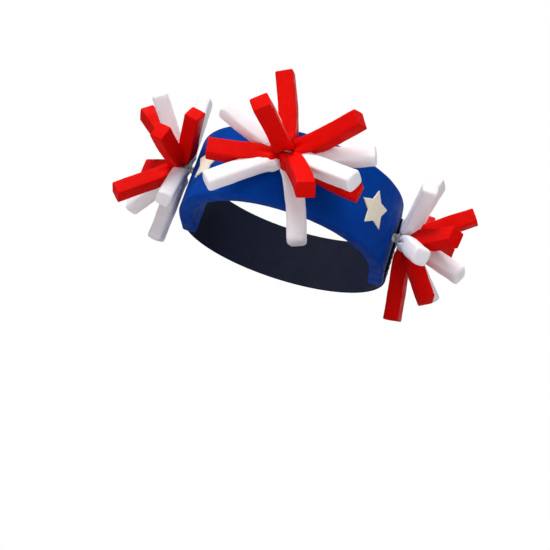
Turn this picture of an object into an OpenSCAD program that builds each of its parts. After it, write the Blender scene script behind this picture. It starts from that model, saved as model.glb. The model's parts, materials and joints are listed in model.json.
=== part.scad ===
// Foam firework headband: a foam brow band with two stars, a stretch strap at the
// rear and three bursts of foam strips, each gathered in the middle by a cord.
// Origin: centre of the front arc, at the band's lower edge. +Z up, the wearer
// faces -Y, and +X is the wearer's left.

/* [Foam band] */
// Radius of the band's outer face at the front
band_r = 88; // [80:1:96]
// Thickness of the band's foam sheet
band_t = 12.7; // [10:0.1:14]
// Height of the band
band_h = 63.5; // [58:0.5:70]
// Length of foam behind the widest point, on each side
band_side = 28; // [26:1:36]

/* [Rear strap] */
// Width of the stretch strap
strap_w = 50; // [38:1:54]
// Thickness of the stretch strap
strap_t = 1.6; // [1.2:0.1:2]
// Length of strap sewn onto the foam at each end
strap_lap = 20; // [16:1:22]
// How far the strap reaches behind the foam's ends
strap_reach = 75; // [60:1:85]
// Stitches in each row
stitch_count = 9; // [5:1:10]

/* [Stars] */
// Radius from a star's centre to its points
star_r = 17.5; // [12:0.5:20]
// Radius to the corners between the points
star_inner_r = 7.4; // [6:0.1:8]
// Thickness of the star's sheet
star_t = 1.2; // [0.8:0.1:2]
// Angle of each star from the front of the band
star_angle = 52; // [48:1:56]
// Height of each star's centre above the lower edge
star_z = 31; // [24:1:38]
// Lean of each star's top point towards the front
star_tilt = 8; // [0:1:15]

/* [Foam bursts] */
// Width of a foam strip
strip_w = 14; // [12:0.1:15]
// Thickness of a foam strip
strip_t = 12.7; // [11:0.1:13]
// Distance of a burst's centre from the band's outer face
burst_gap = 9; // [9:0.5:12]
// Height of the front burst's centre
front_z = 36.5; // [32:0.5:40]
// Height of the left burst's centre
left_z = 31; // [28:0.5:42]
// Height of the right burst's centre
right_z = 40; // [28:0.5:42]
// Angle of the side bursts from the front of the band
side_angle = 84; // [84:4:88]
// How far an arm curves sideways along its length
strip_bend = 8; // [0:1:12]

/* [Binding cord] */
// Radius of the squeezed waist of a bundle
waist_r = 6.5; // [6:0.1:7]
// Radius of the cord
cord_r = 0.9; // [0.8:0.1:1]
// Radius of the cord's two legs, twisted together
leg_r = 2; // [1.8:0.1:2.2]
// Radius of the knot inside the band
knot_r = 3.6; // [3.2:0.1:4]
// Radius of the backing washer
washer_r = 10; // [8:0.5:12]
// Thickness of the backing washer
washer_t = 1; // [0.8:0.1:1.2]

// The next lists hold eight numbers for a strip: the clock angle, lean, length and roll
// of its upper arm, then the same for its lower arm. The clock angle runs from straight
// up towards the burst's own +X side, the lean is away from the band, and the roll is
// about the arm's own length.

/* [Front burst] */
// Upper and lower arm of the first red strip
front_red_a = [-71, 73, 67, -38, 106, 2, 64, 13]; // [-180:1:180]
// Upper and lower arm of the second red strip
front_red_b = [63, 32, 67, 0, -106, 9, 61, 0]; // [-180:1:180]
// Upper and lower arm of the third red strip
front_red_c = [-17, 7, 67, -9, 143, 41, 69, -16]; // [-180:1:180]
// Upper and lower arm of the first white strip
front_white_a = [79, 7, 68, -9, -129, 8, 66, 9]; // [-180:1:180]
// Upper and lower arm of the second white strip
front_white_b = [-41, 6, 54, -10, 155, 4, 75, 10]; // [-180:1:180]
// Upper and lower arm of the third white strip
front_white_c = [-70, 9, 61, 11, 109, 26, 70, -11]; // [-180:1:180]

/* [Left burst] */
// Upper and lower arm of the first red strip
left_red_a = [72, 24, 72, 13, -99, 44, 63, -13]; // [-180:1:180]
// Upper and lower arm of the second red strip
left_red_b = [52, 5, 72, 3, -165, 32, 61, -3]; // [-180:1:180]
// Upper and lower arm of the third red strip
left_red_c = [-16, 58, 60, -7, 155, 5, 66, 7]; // [-180:1:180]
// Upper and lower arm of the first white strip
left_white_a = [15, 9, 69, -13, -155, 65, 58, 13]; // [-180:1:180]
// Upper and lower arm of the second white strip
left_white_b = [95, 10, 72, 14, -122, 22, 62, -14]; // [-180:1:180]
// Upper and lower arm of the third white strip
left_white_c = [-61, 15, 60, 11, 153, 38, 55, -11]; // [-180:1:180]

/* [Right burst] */
// Upper and lower arm of the first red strip
right_red_a = [-22, 45, 70, -3, 172, 46, 62, 3]; // [-180:1:180]
// Upper and lower arm of the second red strip
right_red_b = [66, -1, 60, -14, -108, 9, 72, 2]; // [-180:1:180]
// Upper and lower arm of the third red strip
right_red_c = [-79, 31, 71, 4, 90, 21, 57, -16]; // [-180:1:180]
// Upper and lower arm of the first white strip
right_white_a = [-6, 3, 69, -13, -154, 4, 65, 13]; // [-180:1:180]
// Upper and lower arm of the second white strip
right_white_b = [24, 36, 64, 8, -120, 32, 71, -8]; // [-180:1:180]
// Upper and lower arm of the third white strip
right_white_c = [-51, 11, 72, 13, 143, 2, 55, -8]; // [-180:1:180]

/* [Hidden] */

blue = "#06327a";
cream = "#ddd3c2";
navy = "#10131f";
red = "#d4120b";
white = "#f4f2f7";
nylon = "#e9e6dc";

front_angle = -2;
glue_gap = 0.05;        // between two faces that are glued or sewn together
running_gap = 0.05;     // radial, between the cord's legs and the hole they turn in
arc_step = 4;           // degrees; puts the middle of a facet behind each side burst
seat_depth = 1.2;       // how far a washer presses into the band's inner face
stitch_l = 3.4;
stitch_d = 0.6;
stitch_inset = 4;       // from the strap's end, and from the foam's end
waist_h = 8;            // length of a bundle's squeezed middle
waist_w = 5.2;          // width of one strip's squeezed middle
root_z = 2.6;           // height in the waist at which an arm leaves it
root_share = 0.34;      // an arm's share of its girth there
neck_at = 9;            // an arm has most of its girth this far from the centre
neck_share = 0.74;
full_at = 17;           // and all of it from here on
straight_at = 0.75;     // where along a curved arm its stated clock angle holds
cord_play = 0.35;       // between the waist and the cord
nod_limit = 6;          // degrees that a bundle tips in its cord, each way
far = 300;

cord_ring_r = waist_r + cord_play + cord_r;
cord_outer_r = cord_ring_r + cord_r;
groove_h = cord_r + cord_outer_r * sin(nod_limit) + 0.1;
inner_r = band_r - band_t;
seat_r = inner_r + seat_depth;

// --- Band -----------------------------------------------------------------

// A point on an arc about the origin, at an angle from the front.
function arc_point(r, a) = [r * sin(a), -r * cos(a)];

// The band's curve at radius r: the front arc and the two straight sides.
function band_curve(r) = concat(
    [[-r, band_side]],
    [for (a = [-90 : arc_step : 90]) arc_point(r, a)],
    [[r, band_side]]);

// The strap's curve at an offset from the foam's outer face.
function strap_curve(offset_by) = let (r = band_r + offset_by, reach = strap_reach + offset_by) concat(
    [[r, band_side - strap_lap]],
    [for (a = [0 : arc_step : 180]) [r * cos(a), band_side + reach * sin(a)]],
    [[-r, band_side - strap_lap]]);

function reversed(points) = [for (i = [len(points) - 1 : -1 : 0]) points[i]];

// Moves a burst drawn about its own centre, facing -Y, to its place on the band.
module at_station(angle, z) {
    rotate([0, 0, angle])
        translate([0, -band_r - burst_gap, z])
            children();
}

// The hole for the cord's legs and the flat seat that the washer presses into the foam.
module anchor_cut(angle, z) {
    rotate([0, 0, angle])
        translate([0, 0, z])
            rotate([90, 0, 0]) {
                cylinder(r = leg_r + running_gap, h = far, $fn = 48);
                cylinder(r = washer_r + 0.3, h = seat_r, $fn = 64);
            }
}

module foam_band() {
    color(blue)
        difference() {
            linear_extrude(height = band_h)
                polygon(concat(band_curve(band_r), reversed(band_curve(inner_r))));
            anchor_cut(front_angle, front_z);
            anchor_cut(side_angle, left_z);
            anchor_cut(-side_angle, right_z);
        }
}

// --- Stars ----------------------------------------------------------------

module star_outline() {
    polygon([for (i = [0 : 9])
        (i % 2 == 0 ? star_r : star_inner_r) * [sin(36 * i), cos(36 * i)]]);
}

// A flat star bent to the band's curve: the part of a star-shaped prism that lies
// in a thin shell around the foam.
module star(angle, tilt) {
    color(cream)
        intersection() {
            rotate([0, 0, angle])
                translate([0, 0, star_z])
                    rotate([90, tilt, 0])
                        linear_extrude(height = far)
                            star_outline();
            difference() {
                cylinder(r = band_r + glue_gap + star_t, h = band_h, $fn = 180);
                translate([0, 0, -1])
                    cylinder(r = band_r + glue_gap, h = band_h + 2, $fn = 180);
            }
        }
}

// --- Strap ----------------------------------------------------------------

module rear_strap() {
    color(navy)
        translate([0, 0, (band_h - strap_w) / 2])
            linear_extrude(height = strap_w)
                polygon(concat(strap_curve(glue_gap), reversed(strap_curve(glue_gap + strap_t))));
}

// Two rows of thread lying on the strap's outer face, on the side given by 1 or -1.
module stitching(side) {
    x = band_r + strap_t + 2 * glue_gap;
    z_step = strap_w / (stitch_count + 1);
    color(nylon)
        for (y = [band_side - strap_lap + stitch_inset, band_side - stitch_inset])
            for (i = [1 : stitch_count])
                translate([side > 0 ? x : -x - stitch_d, y - stitch_d / 2,
                        (band_h - strap_w) / 2 + i * z_step - stitch_l / 2])
                    cube([stitch_d, stitch_d, stitch_l]);
}

// --- Cord and washer ------------------------------------------------------

module washer(angle, z) {
    color(nylon)
        rotate([0, 0, angle])
            translate([0, -seat_r + glue_gap, z])
                rotate([-90, 0, 0])
                    difference() {
                        cylinder(r = washer_r, h = washer_t, $fn = 64);
                        translate([0, 0, -1])
                            cylinder(r = leg_r + running_gap, h = washer_t + 2, $fn = 48);
                    }
}

// The cord: a loop round the waist, two legs twisted into one through the band,
// and a knot behind the washer.
module cord(angle, z) {
    knot_y = burst_gap + band_r - seat_r + washer_t + 2 * glue_gap;
    color(nylon)
        at_station(angle, z) {
            rotate_extrude($fn = 64)
                translate([cord_ring_r, 0])
                    circle(r = cord_r, $fn = 24);
            translate([0, cord_ring_r, 0])
                rotate([-90, 0, 0])
                    cylinder(r = leg_r, h = knot_y - cord_ring_r + 1, $fn = 48);
            translate([0, knot_y, 0])
                rotate([-90, 0, 0])
                    cylinder(r1 = knot_r, r2 = knot_r * 0.7, h = knot_r * 1.4, $fn = 32);
        }
}

// --- Foam strips ----------------------------------------------------------

// A point rolled about +Z, leant away from the band and turned to a clock angle.
function aim(p, clock, lean, roll) =
    let (
        rolled = [p.x * cos(roll) - p.y * sin(roll), p.x * sin(roll) + p.y * cos(roll), p.z],
        leant = [rolled.x, rolled.y * cos(lean) - rolled.z * sin(lean),
            rolled.y * sin(lean) + rolled.z * cos(lean)]
    )
    [leant.x * cos(clock) + leant.z * sin(clock), leant.y, leant.z * cos(clock) - leant.x * sin(clock)];

// The corners of a rectangle at height z, anticlockwise from above.
function rectangle(w, t, z) = [for (k = [[-1, -1], [1, -1], [1, 1], [-1, 1]]) [k.x * w / 2, k.y * t / 2, z]];

// A cross-section of an arm, at a distance along it, shifted by a vector.
function arm_section(clock, lean, roll, along, share, shift) =
    [for (p = rectangle(strip_w * share, strip_t * share, along)) aim(p, clock, lean, roll) + shift];

// A closed skin over a list of four-cornered cross-sections.
module skin(sections) {
    last = 4 * (len(sections) - 1);
    sides = [for (i = [0 : 4 : last - 4])
        for (j = [0 : 3])
            let (a = i + j, b = i + (j + 1) % 4)
                each [[a, a + 4, b + 4], [a, b + 4, b]]];
    ends = [[0, 1, 2, 3], [last + 3, last + 2, last + 1, last]];
    polyhedron(points = [for (section = sections) each section], faces = concat(sides, ends));
}

// One arm, from inside the waist to its tip. The arm curves: its clock angle drifts by
// a few degrees on the way. It leaves from root, and its shift from there fades out.
module arm(root, clock, lean, length, roll) {
    bend = strip_bend * sin(3 * clock + lean);
    stops = [0, neck_at, full_at, (full_at + length) / 2, length];
    shares = [root_share, neck_share, 1, 1, 1];
    fades = [1, 0.5, 0, 0, 0];
    skin([for (i = [0 : 4])
        arm_section(clock + bend * (stops[i] / length - straight_at), lean, roll,
            stops[i], shares[i], root * fades[i])]);
}

// The room that the cord's loop and legs need as the bundle tips.
module cord_clearance() {
    groove_outer_r = cord_outer_r + 0.35;
    difference() {
        cylinder(r = groove_outer_r, h = 2 * groove_h, center = true, $fn = 48);
        cylinder(r = waist_r, h = 2 * groove_h + 1, center = true, $fn = 48);
    }
    slot_w = 2 * leg_r + 0.4;
    slot_h = 2 * (leg_r + burst_gap * sin(nod_limit) + 0.3);
    translate([-slot_w / 2, waist_r, -slot_h / 2])
        cube([slot_w, burst_gap, slot_h]);
}

// A strip in its sixth of the waist, with its two arms.
module strip(sector, arms) {
    middle = arc_point(waist_r * 0.6, sector);
    difference() {
        union() {
            translate([middle.x, middle.y, 0])
                rotate([0, 0, sector])
                    cube([waist_w, waist_w, waist_h], center = true);
            arm([middle.x, middle.y, root_z], arms[0], arms[1], arms[2], arms[3]);
            arm([middle.x, middle.y, -root_z], arms[4], arms[5], arms[6], arms[7]);
        }
        cord_clearance();
    }
}

module front_strip(tint, sector, arms) {
    color(tint) at_station(front_angle, front_z) strip(sector, arms);
}

module left_strip(tint, sector, arms) {
    color(tint) at_station(side_angle, left_z) strip(sector, arms);
}

module right_strip(tint, sector, arms) {
    color(tint) at_station(-side_angle, right_z) strip(sector, arms);
}

foam_band();
star(star_angle, -star_tilt);  // left_star
star(-star_angle, star_tilt);  // right_star
rear_strap();
stitching(1);  // left_stitching
stitching(-1);  // right_stitching
washer(front_angle, front_z);  // front_washer
washer(side_angle, left_z);  // left_washer
washer(-side_angle, right_z);  // right_washer
cord(front_angle, front_z);  // front_cord
cord(side_angle, left_z);  // left_cord
cord(-side_angle, right_z);  // right_cord
front_strip(red, 0, front_red_a);  // front_red_strip_a
front_strip(red, 60, front_red_b);  // front_red_strip_b
front_strip(red, -60, front_red_c);  // front_red_strip_c
front_strip(white, 120, front_white_a);  // front_white_strip_a
front_strip(white, 180, front_white_b);  // front_white_strip_b
front_strip(white, -120, front_white_c);  // front_white_strip_c
left_strip(red, 0, left_red_a);  // left_red_strip_a
left_strip(red, 60, left_red_b);  // left_red_strip_b
left_strip(red, -60, left_red_c);  // left_red_strip_c
left_strip(white, 120, left_white_a);  // left_white_strip_a
left_strip(white, 180, left_white_b);  // left_white_strip_b
left_strip(white, -120, left_white_c);  // left_white_strip_c
right_strip(red, 0, right_red_a);  // right_red_strip_a
right_strip(red, 60, right_red_b);  // right_red_strip_b
right_strip(red, -60, right_red_c);  // right_red_strip_c
right_strip(white, 120, right_white_a);  // right_white_strip_a
right_strip(white, 180, right_white_b);  // right_white_strip_b
right_strip(white, -120, right_white_c);  // right_white_strip_c
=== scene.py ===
"""Looks of the foam firework headband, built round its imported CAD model.

Metres, in the CAD's own frame: +Z up, the wearer faces -Y, and +X is the wearer's left.
Every piece is a mesh made here from the places and sizes of the CAD node it stands for.
"""

import json
import math
import random

import bpy
import numpy as np
from mathutils import Matrix, Vector, noise


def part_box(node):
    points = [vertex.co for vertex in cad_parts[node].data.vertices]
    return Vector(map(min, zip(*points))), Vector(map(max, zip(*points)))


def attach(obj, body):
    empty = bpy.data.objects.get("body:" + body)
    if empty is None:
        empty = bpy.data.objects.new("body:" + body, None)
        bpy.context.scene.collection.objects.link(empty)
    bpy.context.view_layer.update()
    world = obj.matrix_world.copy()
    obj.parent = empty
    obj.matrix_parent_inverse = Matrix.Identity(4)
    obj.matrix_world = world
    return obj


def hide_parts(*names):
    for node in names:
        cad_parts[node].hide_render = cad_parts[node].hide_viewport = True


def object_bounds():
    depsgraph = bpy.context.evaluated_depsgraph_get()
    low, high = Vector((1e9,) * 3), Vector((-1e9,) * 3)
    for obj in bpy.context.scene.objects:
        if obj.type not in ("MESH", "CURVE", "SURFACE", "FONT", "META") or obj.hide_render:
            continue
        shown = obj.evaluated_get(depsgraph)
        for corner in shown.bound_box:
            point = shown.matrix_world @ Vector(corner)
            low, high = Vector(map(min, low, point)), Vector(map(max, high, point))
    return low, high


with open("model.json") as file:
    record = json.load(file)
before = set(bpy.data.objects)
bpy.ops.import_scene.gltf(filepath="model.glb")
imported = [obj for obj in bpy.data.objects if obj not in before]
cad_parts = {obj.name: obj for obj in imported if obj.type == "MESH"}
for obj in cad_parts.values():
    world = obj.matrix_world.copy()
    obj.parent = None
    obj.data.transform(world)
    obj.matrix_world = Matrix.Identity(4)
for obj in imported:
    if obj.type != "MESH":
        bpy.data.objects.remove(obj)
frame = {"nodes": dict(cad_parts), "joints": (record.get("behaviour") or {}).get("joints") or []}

CAD_BOX = [list(corner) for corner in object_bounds()]
MM = 0.001
UP = np.array([0.0, 0.0, 1.0])

BURSTS = ("front", "left", "right")
# Each strip's place round the waist of its bundle, in degrees from the outer side.
SECTORS = {
    "red_strip_a": 0, "red_strip_b": 60, "red_strip_c": -60,
    "white_strip_a": 120, "white_strip_b": 180, "white_strip_c": -120,
}

# Lofted bars: how their ends are rounded over and closed
CAP_ANGLES = (22.5, 45, 67.5, 85)           # degrees round the end's edge
FACE_SHARES = (0.85, 0.6, 0.3, 0.05)        # rings that close the end's face
LEAST_RADIUS = 0.2 * MM
CREASE_WIDTH = 0.28         # of half a side

# Foam strips
WAIST_RING = 3.9 * MM       # from the bundle's axis to the middle of a squeezed strip
WAIST_SHARE = 0.37          # a strip's share of its girth where the cord squeezes it
FULL_FROM, FULL_OVER = 2.5 * MM, 9.5 * MM   # where a strip starts to widen, and how far it takes
ROOT_Z, NECK_AT = 3.0 * MM, 9 * MM
TWIST_OVER = 22 * MM        # how much of a strip takes up the twist between its arms
STRIP_STEP = 1.1 * MM
STRIP_PLAY = 0.3 * MM       # the skin's bumps need this much of the CAD's width
STRIP_SHAPES = {            # ranges in mm: corner radius, and how far a side bulges
    "white": ((2.0, 2.9), (0.35, 0.55)),
    "red": ((0.95, 1.35), (0.08, 0.2)),
}
PINCH = (1.3, 2.0)          # a range in mm: depth of the crease beside the cord
STRIP_BUMPS = [(0.32 * MM, 16 * MM), (0.14 * MM, 5 * MM), (0.05 * MM, 1.8 * MM)]    # height, width

# The CAD's sections of an arm, by their distance from the bundle's centre
TIP_FROM, TIP_SPAN = 52 * MM, 21 * MM
INNER_SECTIONS = ((34 * MM, 49 * MM), (17.5 * MM, 21.2 * MM))

# Room for the cord round a bundle's waist
CORD_PLAY = 0.35 * MM       # between the squeezed waist and the cord
FOLD_PLAY = 0.15 * MM       # between the folded arms and the cord
NOD = math.radians(6)       # how far a bundle tips in its cord
WAIST_HALF = 4.2 * MM
FOLD_OVER, FOLD_DEEP = 1.6 * MM, 4 * MM
WAIST_FLARE, FOLD_FLARE = 2.0, 1.5          # how steeply the foam fills out again past the cord

# Foam band
BAND_STEP = 1.6 * MM
BAND_EDGE = 2.4 * MM
BAND_CROWN = 0.15 * MM
BAND_BUMPS = [(0.22 * MM, 30 * MM), (0.10 * MM, 8 * MM), (0.04 * MM, 2.5 * MM)]     # height, width
SEAT_DEPTH, SEAT_PLAY, SEAT_SLOPE = 1.35 * MM, 0.2 * MM, 3.5 * MM   # the dent under a washer
DRAW_DEPTH, DRAW_WIDTH = 1.1 * MM, 5.5 * MM                         # the dimple round a cord

# Stars
STAR_LIP = 0.35 * MM
STAR_BUMPS = [(0.10 * MM, 6 * MM), (0.03 * MM, 1.5 * MM)]           # height, width

# Elastic strap and stitching
STRAP_STEP = 2.2 * MM
STRAP_FADE = 2 * MM         # the plain edge beside the ribs
RIB_PITCH, RIB_DEPTH = 1.7 * MM, 0.10 * MM
WEFT_SCALE, WARP_SCALE = 420.0, 295.0       # waves per metre in the weave's two directions
STITCH_DENT, STITCH_DENT_WIDTH = 0.35 * MM, 0.9 * MM    # at each end of a stitch
ROW_DENT, ROW_DENT_WIDTH = 0.02 * MM, 1.2 * MM          # along a row of stitches
STITCH_POINTS = 15
STITCH_SLANT = 0.25 * MM

# Washers and cords
WASHER_LIP, WASHER_DISH = 0.28 * MM, 0.12 * MM
LOOP_PITCH, LEG_PITCH, KNOT_PITCH = 4.2 * MM, 7.5 * MM, 3.6 * MM    # one turn of the plies
KNOT_RING, KNOT_WAVE, KNOT_RISE = 1.75 * MM, 0.85 * MM, 1.25 * MM
TAIL_LENGTH = 8 * MM

# Stage
FLOOR_GAP = 5 * MM          # the lowest arms swing down less than this as they turn
FLOOR_HALF = 4.0
FADE_FROM, FADE_TO = 0.22, 1.1              # metres from the middle; white beyond
AIM = (0, 0, 0.03)
WORLD_STRENGTH, WORLD_TINT = 0.22, (0.93, 0.945, 1.0)
LIGHTS = {                  # place, side in metres, power in watts, tint
    "key": ((-0.50, -0.78, 1.18), 0.6, 20.0, (1.0, 0.985, 0.965)),
    "front_fill": ((0.5, -1.3, 0.25), 0.9, 5.0, (0.96, 0.97, 1.0)),
    "rear_fill": ((0.5, 1.1, 0.7), 1.0, 8.0, (1.0, 1.0, 1.0)),
}

# Camera, at the photograph's viewing angle
CAMERA_PLACE = (0.1322, -0.9392, -0.3432)
CAMERA_AZIMUTH, CAMERA_ELEVATION, CAMERA_ROLL = 7.775, -18.551, 18.713
CAMERA_LENS, SENSOR_WIDTH = 80.455, 36


# --- Small geometry helpers ------------------------------------------------

def unit(v):
    v = np.asarray(v, float)
    return v / np.linalg.norm(v)


def smoothstep(x):
    x = np.clip(x, 0.0, 1.0)
    return x * x * (3 - 2 * x)


def node_points(node):
    """A CAD node's distinct corners, one a row."""
    points = np.array([v.co for v in frame["nodes"][node].data.vertices], float)
    return np.unique(points.round(6), axis=0)


def step_lengths(curve):
    return np.linalg.norm(np.diff(curve, axis=0), axis=1)


def summed(steps):
    """The running sum of some steps, from 0."""
    return np.concatenate([[0], np.cumsum(steps)])


def between(u, start_u, end_u, start, end):
    """The point at u on the line that passes start at start_u and end at end_u."""
    return ((end_u - u) * start + (u - start_u) * end) / (end_u - start_u)


def spline(points, step):
    """A smooth curve through the points (centripetal Catmull-Rom), cut into even steps."""
    p = np.asarray(points, float)
    p = np.vstack([2 * p[0] - p[1], p, 2 * p[-1] - p[-2]])
    t = summed(np.sqrt(step_lengths(p)))
    curve = []
    for i in range(1, len(p) - 2):
        for u in np.linspace(t[i], t[i + 1], 24, endpoint=False):
            a = [between(u, t[i + k - 1], t[i + k], p[i + k - 1], p[i + k]) for k in range(3)]
            b = [between(u, t[i + k - 1], t[i + k + 1], a[k], a[k + 1]) for k in range(2)]
            curve.append(between(u, t[i], t[i + 1], b[0], b[1]))
    curve.append(p[-2])
    return resample(np.array(curve), step)


def resample(curve, step):
    """The same curve in even steps."""
    length = step_lengths(curve).sum()
    return spaced(curve, 0, max(3, int(round(length / step)) + 1))


def trimmed(curve, at_ends):
    """The curve without its last few millimetres at each end."""
    return spaced(curve, at_ends, len(curve))


def spaced(curve, at_ends, count):
    """The curve as evenly spaced points, starting and stopping at_ends short of its ends."""
    s = summed(step_lengths(curve))
    even = np.linspace(at_ends, s[-1] - at_ends, count)
    return np.stack([np.interp(even, s, curve[:, k]) for k in range(3)], axis=1)


def tangents(path, closed=False):
    if closed:
        d = np.roll(path, -1, axis=0) - np.roll(path, 1, axis=0)
    else:
        d = np.gradient(path, axis=0)
    return d / np.linalg.norm(d, axis=1)[:, None]


def carried(along, start):
    """Carries a direction down a path, always square to it and never twisting."""
    rows, current = [], np.asarray(start, float)
    for t in along:
        current = unit(current - (current @ t) * t)
        rows.append(current)
    return np.array(rows)


# --- Lofting ---------------------------------------------------------------

def section(side_points, arc_points=4):
    """A rounded rectangle's points: place on the inner rectangle, way out, and place on the side."""
    signs = [(1, 1), (-1, 1), (-1, -1), (1, -1)]
    base, out, side = [], [], []
    for q in range(4):
        here, after = np.array(signs[q]), np.array(signs[(q + 1) % 4])
        for k in range(arc_points + 1):
            a = math.radians(90 * (q + k / arc_points))
            base.append(here)
            out.append((math.cos(a), math.sin(a)))
            side.append(1.0)
        count = side_points[q % 2]
        for k in range(1, count + 1):
            f = k / (count + 1)
            base.append((1 - f) * here + f * after)
            out.append(out[-1])
            side.append(1 - 2 * f)
    return np.array(base, float), np.array(out, float), np.array(side, float)


def outline(template, ring):
    """A ring's flat points, from its width, depth, corner radius, crown and crease."""
    base, out, side = template
    width, depth, radius, crown, crease = ring
    half = np.array([width / 2 - radius, depth / 2 - radius])
    fold = crown * (1 - side ** 2) - crease * np.exp(-(side / CREASE_WIDTH) ** 2)
    return base * half + out * (radius + fold)[:, None]


def capped(path, across, rings, cap):
    """Rounds a bar's ends over with more rings.

    Returns every ring's centre, its width's direction, its shape and the direction along the bar.
    """
    along = tangents(path)
    centres, sides, shapes = list(path), list(across), list(rings)
    for end, way in ((0, -1), (-1, 1)):
        at, side, (width, depth, radius, crown, _) = path[end], across[end], rings[end]
        push = way * along[end]
        extra = []
        for angle in CAP_ANGLES:
            a = math.radians(angle)
            inset = cap * (1 - math.cos(a))
            extra.append((at + push * cap * math.sin(a),
                          (width - 2 * inset, depth - 2 * inset, max(radius - inset, LEAST_RADIUS),
                           crown, 0)))
        face_w, face_d, face_r = width - 2 * cap, depth - 2 * cap, max(radius - cap, LEAST_RADIUS)
        for share in FACE_SHARES:
            bulge = crown * (1 - share ** 2)
            extra.append((at + push * (cap + bulge),
                          (face_w * share, face_d * share, face_r * share, crown * share, 0)))
        for centre, shape in extra:
            index = 0 if way < 0 else len(centres)
            centres.insert(index, centre)
            sides.insert(index, side)
            shapes.insert(index, shape)
    count = len(CAP_ANGLES) + len(FACE_SHARES)
    ways = np.vstack([np.repeat(along[:1], count, 0), along, np.repeat(along[-1:], count, 0)])
    return np.array(centres), np.array(sides), shapes, ways


def tube_faces(rings, per_ring, closed=False):
    """Quads over a stack of rings, and a polygon over each open end."""
    faces = []
    for i in range(rings if closed else rings - 1):
        a, b = i * per_ring, ((i + 1) % rings) * per_ring
        for j in range(per_ring):
            k = (j + 1) % per_ring
            faces.append((a + j, a + k, b + k, b + j))
    if not closed:
        faces.append(tuple(range(per_ring - 1, -1, -1)))
        faces.append(tuple((rings - 1) * per_ring + j for j in range(per_ring)))
    return faces


def loft(path, across, rings, template, cap):
    """Points and faces of a bar with rounded edges and rounded ends."""
    centres, sides, shapes, along = capped(path, across, rings, cap)
    ups = np.cross(along, sides)
    points = [c + flat[:, :1] * s + flat[:, 1:] * u
              for c, s, u, flat in zip(centres, sides, ups, (outline(template, r) for r in shapes))]
    return np.concatenate(points), tube_faces(len(centres), len(template[0]))


def round_tube(path, radius, around=10, closed=False, start=None):
    """Points and faces of a round cord along a path. radius may be one number or one a ring."""
    along = tangents(path, closed)
    first = start if start is not None else np.cross(along[0], UP + 0.01)
    side = carried(along, first)
    up = np.cross(along, side)
    radii = np.broadcast_to(radius, len(path))
    a = np.linspace(0, 2 * math.pi, around, endpoint=False)
    points = [c + r * (np.cos(a)[:, None] * s + np.sin(a)[:, None] * u)
              for c, r, s, u in zip(path, radii, side, up)]
    return np.concatenate(points), tube_faces(len(path), around, closed)


def merged(parts):
    """Several (points, faces) as one."""
    points, faces, start = [], [], 0
    for p, f in parts:
        points.append(p)
        faces += [tuple(start + i for i in face) for face in f]
        start += len(p)
    return np.concatenate(points), faces


def lathe(profile, centre, axis, around=96):
    """Points and faces of a closed profile of (radius, height) pairs turned round an axis."""
    axis = unit(axis)
    side = unit(np.cross(axis, UP))
    up = np.cross(axis, side)
    points, count = [], len(profile)
    for a in np.linspace(0, 2 * math.pi, around, endpoint=False):
        way = math.cos(a) * side + math.sin(a) * up
        points += [centre + r * way + h * axis for r, h in profile]
    faces = [(i * count + j, i * count + (j + 1) % count,
              ((i + 1) % around) * count + (j + 1) % count, ((i + 1) % around) * count + j)
             for i in range(around) for j in range(count)]
    return np.array(points), faces


# --- Pieces ----------------------------------------------------------------

def piece(name, shape, look, body, slot, *nodes):
    """Makes a mesh piece that rides on a body and stands for some CAD nodes."""
    points, faces = shape
    mesh = bpy.data.meshes.new(name)
    mesh.from_pydata([tuple(p) for p in points], [], faces)
    mesh.polygons.foreach_set("use_smooth", [True] * len(mesh.polygons))
    mesh.update()
    obj = bpy.data.objects.new(name, mesh)
    bpy.context.scene.collection.objects.link(obj)
    mesh.materials.append(look)
    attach(obj, body)
    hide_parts(*nodes)
    return obj


def mesh_arrays(obj):
    """The mesh's points and the way out at each."""
    mesh = obj.data
    points = np.zeros(len(mesh.vertices) * 3)
    mesh.vertices.foreach_get("co", points)
    normals = np.zeros(len(mesh.vertices) * 3)
    mesh.vertex_normals.foreach_get("vector", normals)
    return points.reshape(-1, 3), normals.reshape(-1, 3)


def set_points(obj, points):
    obj.data.vertices.foreach_set("co", points.astype(np.float32).ravel())
    obj.data.update()


def roughen(obj, amounts, seed, lean=0.0):
    """Makes a surface uneven: amounts is a list of (height, width of a bump)."""
    points, normals = mesh_arrays(obj)
    shift = Vector((seed * 0.37, seed * 0.11, -seed * 0.23))
    height = np.zeros(len(points))
    for tall, wide in amounts:
        height += tall * np.array([noise.noise(Vector(p) / wide + shift) + lean for p in points])
    set_points(obj, points + normals * height[:, None])


# --- Materials -------------------------------------------------------------

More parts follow.
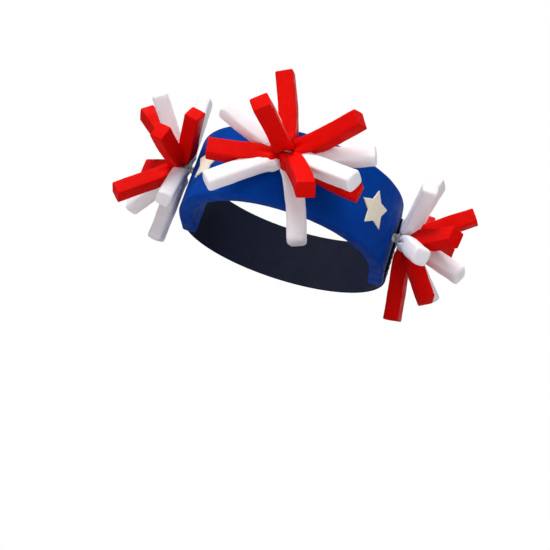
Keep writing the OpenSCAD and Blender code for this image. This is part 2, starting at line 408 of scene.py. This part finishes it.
class Nodes:
    """A material's node tree, with short calls for the few node types used here."""

    def __init__(self, name):
        self.material = bpy.data.materials.new(name)
        self.material.use_nodes = True
        self.tree = self.material.node_tree
        self.shader = self.tree.nodes["Principled BSDF"]
        self.place = self.add("ShaderNodeTexCoord").outputs["Object"]

    def add(self, kind, settings=None, **inputs):
        node = self.tree.nodes.new(kind)
        for key, value in (settings or {}).items():
            setattr(node, key, value)
        for key, value in inputs.items():
            self.put(node.inputs[key.replace("_", " ")], value)
        return node

    def put(self, socket, value):
        if isinstance(value, bpy.types.NodeSocket):
            self.tree.links.new(value, socket)
        else:
            socket.default_value = value

    def noise(self, size, detail=3.0, stretch=None):
        """Soft noise whose blobs are about size metres wide."""
        place = self.place
        if stretch:
            place = self.add("ShaderNodeMapping", Vector=place, Scale=stretch).outputs["Vector"]
        return self.add("ShaderNodeTexNoise", Vector=place, Scale=1 / size, Detail=detail).outputs["Fac"]

    def cells(self, size):
        """Distance from the middle of the nearest cell; cells are about size metres wide."""
        return self.add("ShaderNodeTexVoronoi", Vector=self.place, Scale=1 / size).outputs["Distance"]

    def ranged(self, value, low, high, from_low=0.0, from_high=1.0):
        """Carries the span from_low to from_high softly over to low to high."""
        node = self.add("ShaderNodeMapRange", {"interpolation_type": "SMOOTHSTEP"}, Value=value,
                        From_Min=from_low, From_Max=from_high, To_Min=low, To_Max=high)
        return node.outputs["Result"]

    def mix(self, factor, one, other):
        """Mixes two colours. The sockets go by number, as the node's other kinds share their names."""
        node = self.add("ShaderNodeMix", {"data_type": "RGBA"})
        for number, value in ((0, factor), (6, one), (7, other)):
            self.put(node.inputs[number], value)
        return node.outputs[2]

    def bump(self, height, depth, strength=1.0, under=None):
        node = self.add("ShaderNodeBump", Height=height, Distance=depth, Strength=strength)
        if under is not None:
            self.put(node.inputs["Normal"], under)
        return node.outputs["Normal"]

    def finish(self, colour, roughness, normal, **more):
        self.put(self.shader.inputs["Base Color"], colour)
        self.put(self.shader.inputs["Roughness"], roughness)
        self.put(self.shader.inputs["Normal"], normal)
        for key, value in more.items():
            self.put(self.shader.inputs[key.replace("_", " ")], value)
        return self.material


def rgba(colour, share=1.0):
    return tuple(c * share for c in colour) + (1.0,)


def foam(name, colour, dark, cell=0.9 * MM, pore_shade=0.75, shine=0.08, sheen=0.0, soft=0.0,
         soft_tint=(1, 1, 1)):
    """Fine-cell foam: a matte skin with pinholes darkened by painted shade, faint mottling and slow
    changes of tone.
    """
    n = Nodes(name)
    tone = n.ranged(n.noise(28 * MM, 4), 0.0, 0.55, 0.35, 0.75)
    speckle = n.ranged(n.noise(1.6 * MM, 2), 0.0, 0.35, 0.42, 0.75)
    # Painted shade: the middle of each cell, where the cell bump below sinks a pinhole, is darkened.
    pinhole_shade = n.ranged(n.cells(cell), pore_shade, 0.0, 0.03, 0.24)
    base = n.mix(tone, rgba(colour), rgba(dark))
    base = n.mix(speckle, base, rgba(dark))
    base = n.mix(pinhole_shade, base, rgba(dark, 0.55))
    skin = n.bump(n.noise(5 * MM, 4), 0.3 * MM, 0.5)
    skin = n.bump(n.cells(cell), 0.20 * MM, 0.6, skin)
    skin = n.bump(n.noise(0.4 * MM, 2), 0.07 * MM, 0.5, skin)
    rough = n.ranged(n.noise(9 * MM, 3), 0.52, 0.74, 0.3, 0.7)
    return n.finish(base, rough, skin, Specular_IOR_Level=shine, Sheen_Weight=sheen,
                    Sheen_Roughness=0.5, Subsurface_Weight=soft, Subsurface_Scale=1.6 * MM,
                    Subsurface_Radius=soft_tint)


def felt(name, colour, dark):
    """A craft sheet with a short, matted nap."""
    n = Nodes(name)
    tone = n.ranged(n.noise(7 * MM, 5), 0.0, 0.5, 0.35, 0.7)
    fibre = n.noise(0.7 * MM, 4, stretch=(1.0, 1.0, 0.35))
    base = n.mix(tone, rgba(colour), rgba(dark))
    base = n.mix(n.ranged(fibre, 0.0, 0.3, 0.45, 0.7), base, rgba(dark, 0.8))
    skin = n.bump(fibre, 0.18 * MM, 0.6)
    skin = n.bump(n.noise(2.6 * MM, 3), 0.2 * MM, 0.4, skin)
    return n.finish(base, n.ranged(fibre, 0.78, 0.95), skin, Specular_IOR_Level=0.2,
                    Sheen_Weight=0.3, Sheen_Roughness=0.6)


def elastic(name, colour, light):
    """Woven elastic: fine weft lines across the ribs that the mesh already has."""
    n = Nodes(name)
    weft = n.add("ShaderNodeTexWave", {"bands_direction": "DIAGONAL"}, Vector=n.place,
                 Scale=WEFT_SCALE, Distortion=1.2, Detail=2.0).outputs["Fac"]
    warp = n.add("ShaderNodeTexWave", {"bands_direction": "Z"}, Vector=n.place,
                 Scale=WARP_SCALE, Distortion=0.4, Detail=1.0).outputs["Fac"]
    fuzz = n.noise(0.5 * MM, 3)
    base = n.mix(n.ranged(weft, 0.0, 0.6, 0.3, 1.0), rgba(colour), rgba(light))
    base = n.mix(n.ranged(fuzz, 0.0, 0.4, 0.45, 0.75), base, rgba(light, 0.5))
    skin = n.bump(warp, 0.12 * MM, 0.7)
    skin = n.bump(weft, 0.10 * MM, 0.7, skin)
    skin = n.bump(fuzz, 0.05 * MM, 0.5, skin)
    return n.finish(base, n.ranged(n.noise(12 * MM), 0.62, 0.85), skin, Specular_IOR_Level=0.15,
                    Sheen_Weight=0.1, Sheen_Roughness=0.5, Sheen_Tint=rgba((0.4, 0.5, 1.0)))


def thread(name, colour, dark):
    """Twisted yarn: fibres along the cord, darker in the lay between the plies."""
    n = Nodes(name)
    fibre = n.noise(0.28 * MM, 3, stretch=(0.5, 1.0, 1.0))
    base = n.mix(n.ranged(fibre, 0.0, 0.6, 0.4, 0.8), rgba(colour), rgba(dark))
    base = n.mix(n.ranged(n.noise(6 * MM), 0.0, 0.4, 0.4, 0.8), base, rgba(dark))
    skin = n.bump(fibre, 0.06 * MM, 0.8)
    return n.finish(base, n.ranged(fibre, 0.5, 0.75), skin, Specular_IOR_Level=0.4,
                    Sheen_Weight=0.3, Sheen_Roughness=0.4)


def nylon(name, colour, dark):
    """Natural moulded nylon: satin, faintly cloudy, with fine handling marks."""
    n = Nodes(name)
    cloud = n.noise(5 * MM, 4)
    mark = n.noise(1.1 * MM, 5, stretch=(1.0, 0.12, 1.0))
    base = n.mix(n.ranged(cloud, 0.0, 0.5, 0.35, 0.7), rgba(colour), rgba(dark))
    skin = n.bump(mark, 0.03 * MM, 0.6)
    rough = n.ranged(mark, 0.32, 0.55, 0.35, 0.7)
    return n.finish(base, rough, skin, Specular_IOR_Level=0.5, Subsurface_Weight=0.25,
                    Subsurface_Scale=1.0 * MM)


BLUE_FOAM = foam("blue_foam", (0.0006, 0.055, 0.36), (0.0003, 0.036, 0.27), cell=0.8 * MM, shine=0.04)
RED_FOAM = foam("red_foam", (0.76, 0.003, 0.0012), (0.60, 0.0015, 0.0006), shine=0.05)
WHITE_FOAM = foam("white_foam", (0.93, 0.915, 0.945), (0.87, 0.85, 0.895), cell=1.0 * MM,
                  pore_shade=0.3, shine=0.15, sheen=0.1, soft=0.3, soft_tint=(1.0, 0.85, 0.95))
CREAM_FELT = felt("cream_felt", (0.92, 0.86, 0.69), (0.83, 0.76, 0.59))
NAVY_ELASTIC = elastic("navy_elastic", (0.003, 0.0045, 0.014), (0.012, 0.017, 0.045))
STITCH_THREAD = thread("stitch_thread", (0.07, 0.11, 0.34), (0.02, 0.035, 0.14))
WHITE_CORD = thread("white_cord", (0.80, 0.79, 0.75), (0.56, 0.54, 0.50))
WASHER_NYLON = nylon("washer_nylon", (0.80, 0.79, 0.74), (0.68, 0.66, 0.60))


# --- Stations: where each burst is tied to the band ------------------------

class Station:
    """A burst's centre, the way out from the band, the way along it, and the cord's sizes."""

    def __init__(self, burst):
        turn = next(j for j in frame["joints"] if j["name"] == burst + "_turn")
        self.burst = burst
        self.centre = np.array(turn["pos_m"])
        self.out = unit(turn["axis"])
        self.along = np.cross(UP, self.out)
        near, far = self.depth(burst + "_cord")
        cord = node_points(burst + "_cord")
        deep = (self.centre - cord) @ self.out
        self.cord_r = np.abs(cord[np.abs(deep) < 0.5 * MM][:, 2] - self.centre[2]).max()
        self.loop_r = -near - self.cord_r
        self.washer_face = self.depth(burst + "_washer")[1]
        self.knot_end = far
        legs = (deep > self.loop_r + 1.5 * MM) & (deep < self.washer_face + 0.5 * MM)
        self.leg_r = self.radius(cord[legs]).max()

    def depth(self, node):
        """How far a node reaches in from the burst's centre: (nearest, farthest)."""
        d = (self.centre - node_points(node)) @ self.out
        return d.min(), d.max()

    def radius(self, points):
        """How far each point is from the line through the centre, square to the band."""
        offset = points - self.centre
        return np.linalg.norm(offset - (offset @ self.out)[:, None] * self.out, axis=1)


STATIONS = {burst: Station(burst) for burst in BURSTS}


# --- Foam band -------------------------------------------------------------

def band_sizes():
    """The band's outer radius, foam thickness, the y where its sides end, and its height."""
    low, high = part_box("foam_band")
    points = node_points("foam_band")
    end_x = np.abs(points[points[:, 1] > high.y - 0.1 * MM][:, 0])
    return high.x, end_x.max() - end_x.min(), high.y, high.z - low.z


def u_path(radius, end_y, z, step):
    """The band's curve from the wearer's left end round the front to the right end."""
    arc = [(radius * math.cos(a), -radius * math.sin(a)) for a in np.linspace(0, math.pi, 241)]
    flat = [(radius, end_y)] + arc + [(-radius, end_y)]
    return resample(np.array([(x, y, z) for x, y in flat]), step)


def band_outward(path):
    """The way out at each point of the band's curve: round the front arc, then sideways."""
    return np.array([unit((x, min(y, 0.0), 0.0)) for x, y, _ in path])


def foam_band():
    outer, thick, end_y, height = band_sizes()
    path = trimmed(u_path(outer - thick / 2, end_y, height / 2, BAND_STEP), BAND_EDGE)
    ring = (thick, height, BAND_EDGE, BAND_CROWN, 0.0)
    shape = loft(path, band_outward(path), [ring] * len(path), section((6, 38), 5), BAND_EDGE)
    band = piece("foam_band_skin", shape, BLUE_FOAM, "headband", "blue_foam", "foam_band")
    press_washers(band)
    roughen(band, BAND_BUMPS, seed=3, lean=-0.5)


def press_washers(band):
    """Dents the foam under each washer, and draws it in where the cord enters it in front."""
    points, _ = mesh_arrays(band)
    for station in STATIONS.values():
        washer = node_points(station.burst + "_washer")
        washer_r = station.radius(washer).max()
        _, washer_far = station.depth(station.burst + "_washer")
        depth = (station.centre - points) @ station.out
        r = station.radius(points)
        inside = (depth > washer_far - 3 * MM) & (depth < washer_far + 4 * MM) & (r < 2 * washer_r)
        seat = SEAT_DEPTH * (1 - smoothstep((r - washer_r - SEAT_PLAY) / SEAT_SLOPE))
        points[inside] += np.outer(seat[inside], station.out)
        face = (depth > 0) & (depth < washer_far / 2) & (r < 2 * washer_r)
        draw = DRAW_DEPTH * np.exp(-(r / DRAW_WIDTH) ** 2)
        points[face] -= np.outer(draw[face], station.out)
    set_points(band, points)


# --- Stars -----------------------------------------------------------------

def star(side):
    """A flat star glued to the band's curve, with slightly rounded cut edges."""
    node = side + "_star"
    outer = band_sizes()[0]
    points = node_points(node)
    radii = np.hypot(points[:, 0], points[:, 1])
    inner_r, outer_r = radii.min(), radii.max()
    face = points[radii > outer_r - 0.3 * MM]
    flat = np.stack([np.arctan2(face[:, 0], -face[:, 1]) * outer, face[:, 2]], axis=1)
    centre, corners = star_corners(flat)
    edge = np.concatenate([np.linspace(corners[i], corners[(i + 1) % 10], 12, endpoint=False)
                           for i in range(10)])
    thick = outer_r - inner_r
    rings = [(scale, thick) for scale in (0.03, 0.2, 0.4, 0.6, 0.78, 0.9)]
    rings += [(0.965, thick - 0.03 * MM), (0.985, thick - 0.12 * MM), (1.0, thick - STAR_LIP),
              (1.0, STAR_LIP / 2), (0.985, 0.0)]
    solid = []
    for scale, height in rings:
        for x, z in centre + (edge - centre) * scale:
            a, r = x / outer, inner_r + height
            solid.append((r * math.sin(a), -r * math.cos(a), z))
    shape = np.array(solid), tube_faces(len(rings), len(edge))
    roughen(piece(side + "_star_sheet", shape, CREAM_FELT, "headband", "cream_felt", node),
            STAR_BUMPS, seed=11)


def star_corners(flat):
    """A star's centre and its ten corners in order, found from its unrolled outline."""
    centre = (flat.min(axis=0) + flat.max(axis=0)) / 2
    for _ in range(4):
        reach = np.linalg.norm(flat - centre, axis=1)
        tips = flat[reach > 0.8 * reach.max()]
        angle = np.degrees(np.arctan2(tips[:, 0] - centre[0], tips[:, 1] - centre[1]))
        tip_angle = math.degrees(math.atan2(np.sin(np.radians(5 * angle)).mean(),
                                            np.cos(np.radians(5 * angle)).mean())) / 5
        spots = [tips[np.abs((angle - tip_angle - 72 * k + 180) % 360 - 180) < 20] for k in range(5)]
        centre = np.array([s.mean(axis=0) for s in spots if len(s)]).mean(axis=0)
    reach = np.linalg.norm(flat - centre, axis=1)
    long_r = reach[reach > 0.8 * reach.max()].mean()
    short_r = reach[reach < 0.6 * reach.max()].mean()
    rows = []
    for k in range(10):
        a = math.radians(tip_angle + 36 * k)
        rows.append(centre + (long_r if k % 2 == 0 else short_r) * np.array([math.sin(a), math.cos(a)]))
    return centre, np.array(rows)


# --- Rear strap and its stitching ------------------------------------------

def stitch_places(side):
    """Each stitch's (lowest, highest) corner, from the CAD's small blocks."""
    p = node_points(side + "_stitching")
    xs, ys, zs = (np.unique(p[:, k].round(5)) for k in range(3))
    rows = zip(ys[0::2], ys[1::2])
    return [((xs[0], y0, z0), (xs[-1], y1, z1))
            for y0, y1 in rows for z0, z1 in zip(zs[0::2], zs[1::2])]


def rear_strap():
    low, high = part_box("rear_strap")
    outer, _, end_y, _ = band_sizes()
    thick = high.x - outer - 0.05 * MM
    radius, reach = high.x - thick / 2, high.y - end_y - thick / 2
    middle_z = (low.z + high.z) / 2
    arc = [(radius * math.cos(a), end_y + reach * math.sin(a))
           for a in np.linspace(0, math.pi, 181)]
    flat = [(radius, low.y)] + arc + [(-radius, low.y)]
    edge = thick * 0.42
    path = trimmed(resample(np.array([(x, y, middle_z) for x, y in flat]), STRAP_STEP), edge)
    across = np.cross(tangents(path), UP)
    ring = (thick, high.z - low.z, edge, 0.0, 0.0)
    shape = loft(path, across, [ring] * len(path), section((1, 150), 3), edge)
    strap = piece("rear_strap_webbing", shape, NAVY_ELASTIC, "headband", "navy_elastic", "rear_strap")
    rib_strap(strap)


def rib_strap(strap):
    """Raises the ribs that run round the strap, and draws it in at each stitch."""
    points, normals = mesh_arrays(strap)
    z = points[:, 2]
    edge_fade = smoothstep((z - z.min()) / STRAP_FADE) * smoothstep((z.max() - z) / STRAP_FADE)
    ribs = -RIB_DEPTH * (1 - np.abs(np.sin(math.pi * z / RIB_PITCH))) * edge_fade
    for side in ("left", "right"):
        for low, high in stitch_places(side):
            middle = (np.array(low) + np.array(high)) / 2
            for way in (-1, 1):
                end = middle + UP * way * (high[2] - low[2]) / 2
                gap = np.linalg.norm(points - end, axis=1)
                ribs -= STITCH_DENT * np.exp(-(gap / STITCH_DENT_WIDTH) ** 2)
            gap = np.abs(points[:, 1] - middle[1])
            close = np.abs(points[:, 0] - middle[0]) < 2 * MM
            ribs -= ROW_DENT * np.exp(-(gap / ROW_DENT_WIDTH) ** 2) * close
    set_points(strap, points + normals * ribs[:, None])


def stitching(side):
    """Rows of thread: each stitch rises out of the strap, lies on it and dives back in."""
    rng = random.Random(side)
    parts = []
    for low, high in stitch_places(side):
        # From just under the strap's face at both ends to just proud of it in the middle.
        way = 1 if low[0] > 0 else -1
        face = min(abs(low[0]), abs(high[0]))
        tall = abs(high[0] - low[0])
        length = high[2] - low[2]
        y = (low[1] + high[1]) / 2
        slant = rng.uniform(-1, 1) * STITCH_SLANT
        rows = []
        for f in np.linspace(0, 1, STITCH_POINTS):
            lift = tall * (0.62 * math.sin(math.pi * f) ** 0.45 - 0.42)
            rows.append((way * (face + lift), y + slant * (f - 0.5), low[2] + length * f))
        radius = tall * 0.47 * (1 + 0.10 * np.sin(np.linspace(0, 9 * math.pi, STITCH_POINTS)))
        parts.append(round_tube(np.array(rows), radius, 10))
    piece(side + "_stitches", merged(parts), STITCH_THREAD, "headband", "stitch_thread",
          side + "_stitching")


# --- Washers and cords -----------------------------------------------------

def washer(station):
    """A nylon backing washer with rounded rims, dished very slightly by the cord's pull."""
    node = station.burst + "_washer"
    points = node_points(node)
    near, far = station.depth(node)
    r = station.radius(points)
    hole, rim, thick = r[r < r.max() / 2].mean(), r.max(), far - near
    lip = WASHER_LIP
    corners = [(hole + lip, 0.0), (rim - lip, 0.0), (rim, lip), (rim, thick - lip),
               (rim - lip, thick), (rim * 0.62, thick - WASHER_DISH), (hole + lip, thick),
               (hole, thick - lip), (hole, lip)]
    profile = []
    for a, b in zip(corners, corners[1:] + corners[:1]):
        steps = max(2, int(math.dist(a, b) / (0.9 * MM)))
        profile += [tuple(np.array(a) + (np.array(b) - a) * k / steps) for k in range(steps)]
    shape = lathe(profile, station.centre - station.out * near, -station.out)
    piece(station.burst + "_washer_disc", shape, WASHER_NYLON, "headband", "washer_nylon", node)


def plied(path, radius, plies, pitch, closed=False, around=8):
    """A rope: plies wound round a path, so that the whole is radius thick."""
    along = tangents(path, closed)
    side = carried(along, np.cross(along[0], unit(UP + 0.013)))
    up = np.cross(along, side)
    s = summed(step_lengths(path))
    total = s[-1] + (np.linalg.norm(path[0] - path[-1]) if closed else 0)
    turns = round(total / pitch) if closed else total / pitch
    ply_r = radius / (1 + 1 / math.sin(math.pi / plies)) if plies > 2 else radius / 2
    parts = []
    for k in range(plies):
        a = 2 * math.pi * (turns * s / total + k / plies)
        strand = path + (radius - ply_r) * (np.cos(a)[:, None] * side + np.sin(a)[:, None] * up)
        parts.append(round_tube(strand, ply_r * 1.06, around, closed, side[0]))
    return merged(parts)


def cord(station):
    """The tie: a loop round the bundle, two legs twisted through the band, a knot and its tails."""
    loop = np.array([station.centre + station.loop_r * way for way in
                     (math.cos(a) * station.out + math.sin(a) * station.along
                      for a in np.linspace(0, 2 * math.pi, 96, endpoint=False))])
    legs = np.array([station.centre - station.out * d
                     for d in np.linspace(station.loop_r - station.cord_r / 2,
                                          station.washer_face + 1.5 * MM, 40)])
    parts = [plied(loop, station.cord_r, 3, LOOP_PITCH, closed=True),
             plied(legs, station.leg_r, 2, LEG_PITCH, around=12),
             knot(station)]
    piece(station.burst + "_cord_tie", merged(parts), WHITE_CORD, station.burst + "_anchor",
          "white_cord", station.burst + "_cord")


def knot(station):
    """An overhand knot, a trefoil pulled tight, with two cut tails."""
    thickness = 0.95 * station.cord_r
    middle = station.centre - station.out * ((station.washer_face + station.knot_end) / 2 + 0.2 * MM)
    body = []
    for a in np.linspace(0, 2 * math.pi, 120, endpoint=False):
        reach = KNOT_RING + KNOT_WAVE * math.cos(3 * a)
        body.append(middle + reach * (math.cos(2 * a) * station.along + math.sin(2 * a) * UP)
                    - station.out * KNOT_RISE * math.sin(3 * a))
    parts = [plied(np.array(body), thickness, 3, KNOT_PITCH, closed=True)]
    for way, droop in ((1, -0.8), (-1, -0.35)):
        tail = [middle + station.along * way * reach + UP * droop * reach ** 1.2 * 2.2
                - station.out * (0.6 * MM + 0.12 * reach)
                for reach in np.linspace(0.5 * MM, TAIL_LENGTH, 16)]
        parts.append(plied(np.array(tail), thickness, 3, KNOT_PITCH))
    return merged(parts)


# --- Foam strips -----------------------------------------------------------

def arm_corners(points, centre):
    """The four corners of each arm's tip, and of its two inner sections, for both arms."""
    reach = np.linalg.norm(points - centre, axis=1)
    tips = points[reach > TIP_FROM]
    first = np.linalg.norm(tips - tips[0], axis=1) < TIP_SPAN
    arms = []
    for tip in (tips[first], tips[~first]):
        way = unit(tip.mean(axis=0) - centre)
        groups = [tip]
        for low, high in INNER_SECTIONS:
            near = points[(reach > low) & (reach < high)]
            ahead = (near - centre) @ way
            angle = np.linalg.norm(np.cross(near - centre, way), axis=1) / ahead
            behind_is_far = np.where(ahead > 0, angle, np.inf)
            groups.append(near[np.argsort(behind_is_far)[:4]])
        arms.append(groups)
    arms.sort(key=lambda groups: -groups[0][:, 2].mean())
    return arms


def tip_axes(tip):
    """A tip's width direction, width and thickness."""
    gaps = tip[1:] - tip[0]
    order = np.argsort(np.linalg.norm(gaps, axis=1))
    return unit(gaps[order[1]]), np.linalg.norm(gaps[order[1]]), np.linalg.norm(gaps[order[0]])


def strip_path(station, arms, sector):
    """One smooth line from the upper arm's tip, through the squeezed waist, to the lower tip."""
    a = math.radians(sector)
    waist = WAIST_RING * (math.sin(a) * station.along + math.cos(a) * station.out)
    halves = []
    for groups, way in zip(arms, (1, -1)):
        root = waist + UP * way * ROOT_Z
        full = groups[2].mean(axis=0)
        neck = station.centre + unit(full - station.centre) * NECK_AT + root * 0.5
        halves.append([groups[0].mean(axis=0), groups[1].mean(axis=0), full, neck, station.centre + root])
    return spline(halves[0] + [station.centre + waist] + halves[1][::-1], STRIP_STEP)


def strip_across(path, centre, start, end):
    """The width direction along a strip. What the two arms differ by is turned in at the waist."""
    along = tangents(path)
    side = carried(along, start)
    up = np.cross(along, side)
    wanted = end - (end @ along[-1]) * along[-1]
    twist = math.atan2(wanted @ up[-1], wanted @ side[-1])
    twist = (twist + math.pi / 2) % math.pi - math.pi / 2
    s = np.arange(len(path)) * np.linalg.norm(path[1] - path[0])
    middle = s[np.argmin(np.linalg.norm(path - centre, axis=1))]
    a = twist * smoothstep((s - middle) / TWIST_OVER + 0.5)
    return np.cos(a)[:, None] * side + np.sin(a)[:, None] * up


def clear_of_cord(points, per_ring, station):
    """Keeps a strip within the loop at the waist, and folds its arms over the loop outside it.

    The cord has to stay clear as the bundle tips, so the foam leaves it that much room.
    """
    rings = points.reshape(-1, per_ring, 3).mean(axis=1) - station.centre
    middle = np.argmin(np.linalg.norm(rings, axis=1))
    offset = (np.arange(len(points)) // per_ring - middle) * STRIP_STEP
    local = points - station.centre
    z = local[:, 2].copy()
    flat = local * [1, 1, 0]
    r = np.linalg.norm(flat, axis=1)
    inner = station.loop_r - station.cord_r - CORD_PLAY
    outer = station.loop_r + station.cord_r + CORD_PLAY
    lift = station.cord_r + station.loop_r * math.sin(NOD) + FOLD_PLAY
    leg_lift = station.leg_r + 1.2 * station.loop_r * math.sin(NOD) + FOLD_PLAY

    waist = np.abs(offset) < WAIST_HALF
    limit = inner + WAIST_FLARE * np.maximum(0, np.abs(z) - lift)
    squeeze = np.where(waist, np.minimum(1.0, limit / np.maximum(r, 1e-9)), 1.0)
    flat *= squeeze[:, None]

    legs = smoothstep((flat @ -station.out / np.maximum(r, 1e-9) - 0.75) / 0.15)
    need = lift + (leg_lift - lift) * legs
    ramp = smoothstep((r - inner + FOLD_OVER) / FOLD_OVER)
    least = -FOLD_DEEP + (need + FOLD_DEEP) * ramp - FOLD_FLARE * np.maximum(0, r - outer)
    way = np.where(offset < 0, 1.0, -1.0)
    z = np.where(waist, z, way * np.maximum(way * z, least))
    return station.centre + flat + np.outer(z, UP)


def foam_strip(station, name, sector):
    """A foam bar squeezed in the middle by the cord, its two arms bent apart."""
    node = station.burst + "_" + name
    rng = random.Random(node)
    colour = name.split("_")[0]
    edge_range, crown_range = STRIP_SHAPES[colour]
    arms = arm_corners(node_points(node), station.centre)
    start, width, thick = tip_axes(arms[0][0])
    end = tip_axes(arms[1][0])[0]
    edge = rng.uniform(*edge_range) * MM
    crown = rng.uniform(*crown_range) * MM
    pinch = rng.uniform(*PINCH) * MM
    path = trimmed(strip_path(station, arms, sector), edge)
    reach = np.linalg.norm(path - station.centre, axis=1)
    share = WAIST_SHARE + (1 - WAIST_SHARE) * smoothstep((reach - FULL_FROM) / FULL_OVER)
    crease = (pinch * smoothstep((reach - 3 * MM) / (5 * MM))
              * (1 - smoothstep((reach - 9 * MM) / (17 * MM))))
    rings = []
    for k, c in zip(share, crease):
        w, d = (width - STRIP_PLAY) * k, (thick - STRIP_PLAY) * k
        rings.append((w, d, min(max(edge, (1 - k) * 5 * MM), 0.47 * min(w, d)), crown * k, c))
    across = strip_across(path, station.centre, start, end)
    template = section((8, 8), 4)
    points, faces = loft(path, across, rings, template, edge)
    shape = clear_of_cord(points, len(template[0]), station), faces
    look = WHITE_FOAM if colour == "white" else RED_FOAM
    obj = piece(node + "_foam", shape, look, station.burst + "_burst", colour + "_foam", node)
    roughen(obj, STRIP_BUMPS, seed=rng.randint(1, 500))


# --- Stage, light and camera -----------------------------------------------

def area_light(name, place, side, power, tint):
    """A square lamp that faces the object."""
    light = bpy.data.lights.new(name, "AREA")
    light.shape = "RECTANGLE"
    light.size = light.size_y = side
    light.energy = power
    light.color = tint
    obj = bpy.data.objects.new(name, light)
    obj.location = place
    obj.rotation_mode = "QUATERNION"
    obj.rotation_quaternion = (Vector(AIM) - Vector(place)).to_track_quat("-Z", "Y")
    bpy.context.scene.collection.objects.link(obj)


def world_light(strength, tint):
    """White behind the object, and a dimmer, even light on it."""
    world = bpy.data.worlds.new("studio")
    bpy.context.scene.world = world
    world.use_nodes = True
    tree = world.node_tree
    tree.nodes.clear()
    seen = tree.nodes.new("ShaderNodeLightPath")
    white = tree.nodes.new("ShaderNodeBackground")
    white.inputs["Color"].default_value = (1, 1, 1, 1)
    fill = tree.nodes.new("ShaderNodeBackground")
    fill.inputs["Color"].default_value = tint + (1,)
    fill.inputs["Strength"].default_value = strength
    mix = tree.nodes.new("ShaderNodeMixShader")
    out = tree.nodes.new("ShaderNodeOutputWorld")
    tree.links.new(seen.outputs["Is Camera Ray"], mix.inputs["Fac"])
    tree.links.new(fill.outputs[0], mix.inputs[1])
    tree.links.new(white.outputs[0], mix.inputs[2])
    tree.links.new(mix.outputs[0], out.inputs["Surface"])


def floor(height):
    """A plain pale floor that fades into the white behind it.

    From below it isn't seen, because the photograph was taken from lower than the object.
    """
    mesh = bpy.data.meshes.new("floor")
    corners = [(x * FLOOR_HALF, y * FLOOR_HALF, height) for x, y in ((-1, -1), (1, -1), (1, 1), (-1, 1))]
    mesh.from_pydata(corners, [], [(0, 1, 2, 3)])
    obj = bpy.data.objects.new("floor", mesh)
    bpy.context.scene.collection.objects.link(obj)
    n = Nodes("floor")
    n.finish((0.68, 0.68, 0.685, 1), 0.8, n.bump(n.noise(2 * MM), 0.02 * MM))
    reach = n.add("ShaderNodeVectorMath", {"operation": "LENGTH"}, Vector=n.place).outputs["Value"]
    away = n.ranged(reach, 0.0, 1.0, FADE_FROM, FADE_TO)
    below = n.add("ShaderNodeNewGeometry").outputs["Backfacing"]
    hidden = n.add("ShaderNodeMath", {"operation": "MAXIMUM"})
    n.put(hidden.inputs[0], away)
    n.put(hidden.inputs[1], below)
    seen = n.add("ShaderNodeMath", {"operation": "MULTIPLY"})
    n.put(seen.inputs[0], hidden.outputs[0])
    n.put(seen.inputs[1], n.add("ShaderNodeLightPath").outputs["Is Camera Ray"])
    mix = n.add("ShaderNodeMixShader", Fac=seen.outputs[0])
    n.put(mix.inputs[1], n.shader.outputs[0])
    n.put(mix.inputs[2], n.add("ShaderNodeBsdfTransparent").outputs[0])
    n.tree.links.new(mix.outputs[0], n.tree.nodes["Material Output"].inputs["Surface"])
    mesh.materials.append(n.material)


def camera():
    a, e, r = (math.radians(x) for x in (CAMERA_AZIMUTH, CAMERA_ELEVATION, CAMERA_ROLL))
    back = np.array([math.sin(a) * math.cos(e), -math.cos(a) * math.cos(e), math.sin(e)])
    right = np.array([math.cos(a), math.sin(a), 0.0])
    up = np.cross(back, right)
    x = math.cos(r) * right + math.sin(r) * up
    y = -math.sin(r) * right + math.cos(r) * up
    lens = bpy.data.cameras.new("camera")
    lens.lens, lens.sensor_width = CAMERA_LENS, SENSOR_WIDTH
    lens.clip_start = 0.01
    obj = bpy.data.objects.new("camera", lens)
    turn = Matrix((x, y, back)).transposed().to_4x4()
    obj.matrix_world = Matrix.Translation(CAMERA_PLACE) @ turn
    bpy.context.scene.collection.objects.link(obj)
    bpy.context.scene.camera = obj


# --- The object ------------------------------------------------------------

foam_band()
rear_strap()
for side in ("left", "right"):
    star(side)
    stitching(side)
for station in STATIONS.values():
    washer(station)
    cord(station)
    for strip_name, strip_sector in SECTORS.items():
        foam_strip(station, strip_name, strip_sector)

# --- The stage -------------------------------------------------------------

floor(CAD_BOX[0][2] - FLOOR_GAP)
world_light(WORLD_STRENGTH, WORLD_TINT)
for light_name, settings in LIGHTS.items():
    area_light(light_name, *settings)
camera()
bpy.context.scene.view_settings.view_transform = "Standard"
